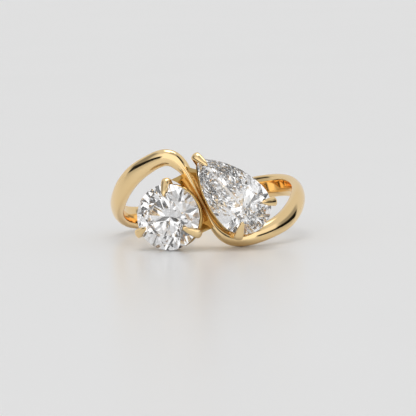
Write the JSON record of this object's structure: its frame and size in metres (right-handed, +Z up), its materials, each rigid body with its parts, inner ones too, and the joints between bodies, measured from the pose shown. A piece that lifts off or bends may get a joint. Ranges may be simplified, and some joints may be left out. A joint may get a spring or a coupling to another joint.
{
  "type": "toi et moi ring",
  "caption": "Gold bypass ring on its side, its band sweeping over a round brilliant and under a pear brilliant held in claws.",
  "frame": {"origin": "middle of the ring's outline, on the surface that it lies on", "axes": "+Z up from that surface, the stones face -Y, +X to the right as the stones are looked at"},
  "size_m": [0.0204, 0.0234, 0.0099],
  "materials": {
    "gold": "polished yellow gold",
    "diamond": "clear cut stone"
  },
  "bodies": {
    "root": {"ring_band_and_settings": "gold", "round_stone": "diamond", "pear_stone": "diamond"}
  },
  "joints": []
}
